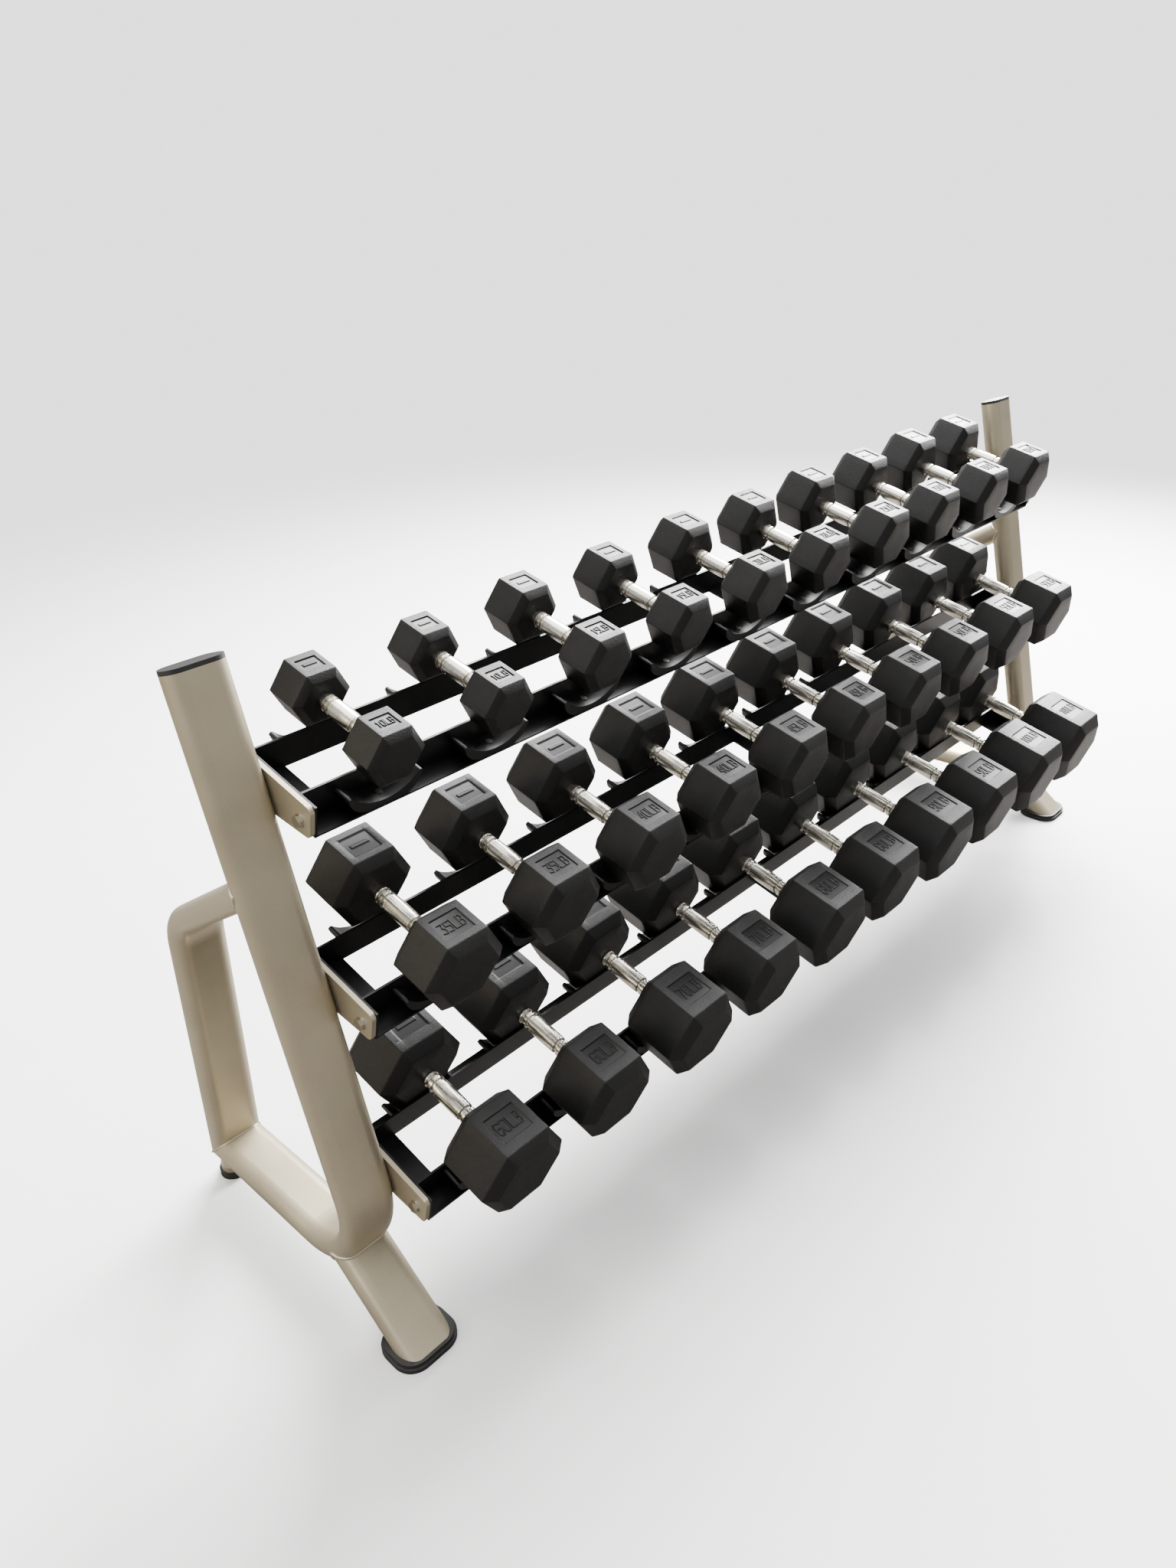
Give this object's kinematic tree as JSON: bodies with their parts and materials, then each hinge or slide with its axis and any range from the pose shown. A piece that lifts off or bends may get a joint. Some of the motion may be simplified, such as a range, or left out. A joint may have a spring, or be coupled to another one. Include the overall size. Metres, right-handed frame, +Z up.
{
  "type": "dumbbell rack",
  "caption": "Tiered rack with sloping saddle rails between bent flat-oval tube end frames, loaded with hex dumbbells in rising weights",
  "frame": {"origin": "floor level, midway between the end frames and midway from front to back", "axes": "X along the rack to the right, Y to the back, Z up"},
  "size_m": [2.524, 0.7696, 1.1738],
  "materials": {
    "frame_paint": "satin silver-beige metallic powder coat",
    "rail_paint": "black powder coat",
    "saddle_plastic": "moulded satin black",
    "cap_plastic": "moulded satin black",
    "pad_rubber": "moulded black rubber",
    "zinc_steel": "bright zinc plate",
    "head_rubber": "black rubber coating over cast iron, chromed handle"
  },
  "bodies": {
    "rack": {"left_mast": "frame_paint", "right_mast": "frame_paint", "left_rear_upright": "frame_paint", "right_rear_upright": "frame_paint", "left_front_foot": "frame_paint", "right_front_foot": "frame_paint", "rear_foot_tubes": "frame_paint", "mast_caps": "cap_plastic", "front_foot_pads": "pad_rubber", "rear_foot_pads": "pad_rubber", "left_bracket_plates": "frame_paint", "right_bracket_plates": "frame_paint", "left_end_plates": "rail_paint", "right_end_plates": "rail_paint", "mid_cross_plates": "rail_paint", "top_front_rail": "rail_paint", "top_front_saddles": "saddle_plastic", "top_rear_rail": "rail_paint", "top_rear_saddles": "saddle_plastic", "middle_front_rail": "rail_paint", "middle_front_saddles": "saddle_plastic", "middle_rear_rail": "rail_paint", "middle_rear_saddles": "saddle_plastic", "bottom_front_rail": "rail_paint", "bottom_front_saddles": "saddle_plastic", "bottom_rear_rail": "rail_paint", "bottom_rear_saddles": "saddle_plastic", "saddle_screws": "zinc_steel", "bracket_bolts": "zinc_steel", "bracket_nuts": "zinc_steel"},
    "body_top_01_10lb": {"dumbbell_top_01_10lb": "head_rubber"},
    "body_top_02_10lb": {"dumbbell_top_02_10lb": "head_rubber"},
    "body_top_03_15lb": {"dumbbell_top_03_15lb": "head_rubber"},
    "body_top_04_15lb": {"dumbbell_top_04_15lb": "head_rubber"},
    "body_top_05_20lb": {"dumbbell_top_05_20lb": "head_rubber"},
    "body_top_06_20lb": {"dumbbell_top_06_20lb": "head_rubber"},
    "body_top_07_25lb": {"dumbbell_top_07_25lb": "head_rubber"},
    "body_top_08_25lb": {"dumbbell_top_08_25lb": "head_rubber"},
    "body_top_09_30lb": {"dumbbell_top_09_30lb": "head_rubber"},
    "body_top_10_30lb": {"dumbbell_top_10_30lb": "head_rubber"},
    "body_middle_01_35lb": {"dumbbell_middle_01_35lb": "head_rubber"},
    "body_middle_02_35lb": {"dumbbell_middle_02_35lb": "head_rubber"},
    "body_middle_03_40lb": {"dumbbell_middle_03_40lb": "head_rubber"},
    "body_middle_04_40lb": {"dumbbell_middle_04_40lb": "head_rubber"},
    "body_middle_05_45lb": {"dumbbell_middle_05_45lb": "head_rubber"},
    "body_middle_06_45lb": {"dumbbell_middle_06_45lb": "head_rubber"},
    "body_middle_07_50lb": {"dumbbell_middle_07_50lb": "head_rubber"},
    "body_middle_08_50lb": {"dumbbell_middle_08_50lb": "head_rubber"},
    "body_middle_09_55lb": {"dumbbell_middle_09_55lb": "head_rubber"},
    "body_middle_10_55lb": {"dumbbell_middle_10_55lb": "head_rubber"},
    "body_bottom_01_60lb": {"dumbbell_bottom_01_60lb": "head_rubber"},
    "body_bottom_02_60lb": {"dumbbell_bottom_02_60lb": "head_rubber"},
    "body_bottom_03_70lb": {"dumbbell_bottom_03_70lb": "head_rubber"},
    "body_bottom_04_70lb": {"dumbbell_bottom_04_70lb": "head_rubber"},
    "body_bottom_05_80lb": {"dumbbell_bottom_05_80lb": "head_rubber"},
    "body_bottom_06_80lb": {"dumbbell_bottom_06_80lb": "head_rubber"},
    "body_bottom_07_90lb": {"dumbbell_bottom_07_90lb": "head_rubber"},
    "body_bottom_08_90lb": {"dumbbell_bottom_08_90lb": "head_rubber"},
    "body_bottom_09_100lb": {"dumbbell_bottom_09_100lb": "head_rubber"},
    "body_bottom_10_100lb": {"dumbbell_bottom_10_100lb": "head_rubber"}
  },
  "joints": [
    {"name": "lift_top_01_10lb", "type": "slide", "parent": "rack", "child": "body_top_01_10lb", "axis": [0, -0.2365, 0.9716], "range_m": [0, 0.07]},
    {"name": "lift_top_02_10lb", "type": "slide", "parent": "rack", "child": "body_top_02_10lb", "axis": [0, -0.2365, 0.9716], "range_m": [0, 0.07]},
    {"name": "lift_top_03_15lb", "type": "slide", "parent": "rack", "child": "body_top_03_15lb", "axis": [0, -0.2365, 0.9716], "range_m": [0, 0.07]},
    {"name": "lift_top_04_15lb", "type": "slide", "parent": "rack", "child": "body_top_04_15lb", "axis": [0, -0.2365, 0.9716], "range_m": [0, 0.07]},
    {"name": "lift_top_05_20lb", "type": "slide", "parent": "rack", "child": "body_top_05_20lb", "axis": [0, -0.2365, 0.9716], "range_m": [0, 0.07]},
    {"name": "lift_top_06_20lb", "type": "slide", "parent": "rack", "child": "body_top_06_20lb", "axis": [0, -0.2365, 0.9716], "range_m": [0, 0.07]},
    {"name": "lift_top_07_25lb", "type": "slide", "parent": "rack", "child": "body_top_07_25lb", "axis": [0, -0.2365, 0.9716], "range_m": [0, 0.07]},
    {"name": "lift_top_08_25lb", "type": "slide", "parent": "rack", "child": "body_top_08_25lb", "axis": [0, -0.2365, 0.9716], "range_m": [0, 0.07]},
    {"name": "lift_top_09_30lb", "type": "slide", "parent": "rack", "child": "body_top_09_30lb", "axis": [0, -0.2365, 0.9716], "range_m": [0, 0.07]},
    {"name": "lift_top_10_30lb", "type": "slide", "parent": "rack", "child": "body_top_10_30lb", "axis": [0, -0.2365, 0.9716], "range_m": [0, 0.07]},
    {"name": "lift_middle_01_35lb", "type": "slide", "parent": "rack", "child": "body_middle_01_35lb", "axis": [0, -0.2365, 0.9716], "range_m": [0, 0.07]},
    {"name": "lift_middle_02_35lb", "type": "slide", "parent": "rack", "child": "body_middle_02_35lb", "axis": [0, -0.2365, 0.9716], "range_m": [0, 0.07]},
    {"name": "lift_middle_03_40lb", "type": "slide", "parent": "rack", "child": "body_middle_03_40lb", "axis": [0, -0.2365, 0.9716], "range_m": [0, 0.07]},
    {"name": "lift_middle_04_40lb", "type": "slide", "parent": "rack", "child": "body_middle_04_40lb", "axis": [0, -0.2365, 0.9716], "range_m": [0, 0.07]},
    {"name": "lift_middle_05_45lb", "type": "slide", "parent": "rack", "child": "body_middle_05_45lb", "axis": [0, -0.2365, 0.9716], "range_m": [0, 0.07]},
    {"name": "lift_middle_06_45lb", "type": "slide", "parent": "rack", "child": "body_middle_06_45lb", "axis": [0, -0.2365, 0.9716], "range_m": [0, 0.07]},
    {"name": "lift_middle_07_50lb", "type": "slide", "parent": "rack", "child": "body_middle_07_50lb", "axis": [0, -0.2365, 0.9716], "range_m": [0, 0.07]},
    {"name": "lift_middle_08_50lb", "type": "slide", "parent": "rack", "child": "body_middle_08_50lb", "axis": [0, -0.2365, 0.9716], "range_m": [0, 0.07]},
    {"name": "lift_middle_09_55lb", "type": "slide", "parent": "rack", "child": "body_middle_09_55lb", "axis": [0, -0.2365, 0.9716], "range_m": [0, 0.07]},
    {"name": "lift_middle_10_55lb", "type": "slide", "parent": "rack", "child": "body_middle_10_55lb", "axis": [0, -0.2365, 0.9716], "range_m": [0, 0.07]},
    {"name": "lift_bottom_01_60lb", "type": "slide", "parent": "rack", "child": "body_bottom_01_60lb", "axis": [0, -0.2365, 0.9716], "range_m": [0, 0.07]},
    {"name": "lift_bottom_02_60lb", "type": "slide", "parent": "rack", "child": "body_bottom_02_60lb", "axis": [0, -0.2365, 0.9716], "range_m": [0, 0.07]},
    {"name": "lift_bottom_03_70lb", "type": "slide", "parent": "rack", "child": "body_bottom_03_70lb", "axis": [0, -0.2365, 0.9716], "range_m": [0, 0.07]},
    {"name": "lift_bottom_04_70lb", "type": "slide", "parent": "rack", "child": "body_bottom_04_70lb", "axis": [0, -0.2365, 0.9716], "range_m": [0, 0.07]},
    {"name": "lift_bottom_05_80lb", "type": "slide", "parent": "rack", "child": "body_bottom_05_80lb", "axis": [0, -0.2365, 0.9716], "range_m": [0, 0.07]},
    {"name": "lift_bottom_06_80lb", "type": "slide", "parent": "rack", "child": "body_bottom_06_80lb", "axis": [0, -0.2365, 0.9716], "range_m": [0, 0.07]},
    {"name": "lift_bottom_07_90lb", "type": "slide", "parent": "rack", "child": "body_bottom_07_90lb", "axis": [0, -0.2365, 0.9716], "range_m": [0, 0.07]},
    {"name": "lift_bottom_08_90lb", "type": "slide", "parent": "rack", "child": "body_bottom_08_90lb", "axis": [0, -0.2365, 0.9716], "range_m": [0, 0.07]},
    {"name": "lift_bottom_09_100lb", "type": "slide", "parent": "rack", "child": "body_bottom_09_100lb", "axis": [0, -0.2365, 0.9716], "range_m": [0, 0.07]},
    {"name": "lift_bottom_10_100lb", "type": "slide", "parent": "rack", "child": "body_bottom_10_100lb", "axis": [0, -0.2365, 0.9716], "range_m": [0, 0.07]}
  ]
}
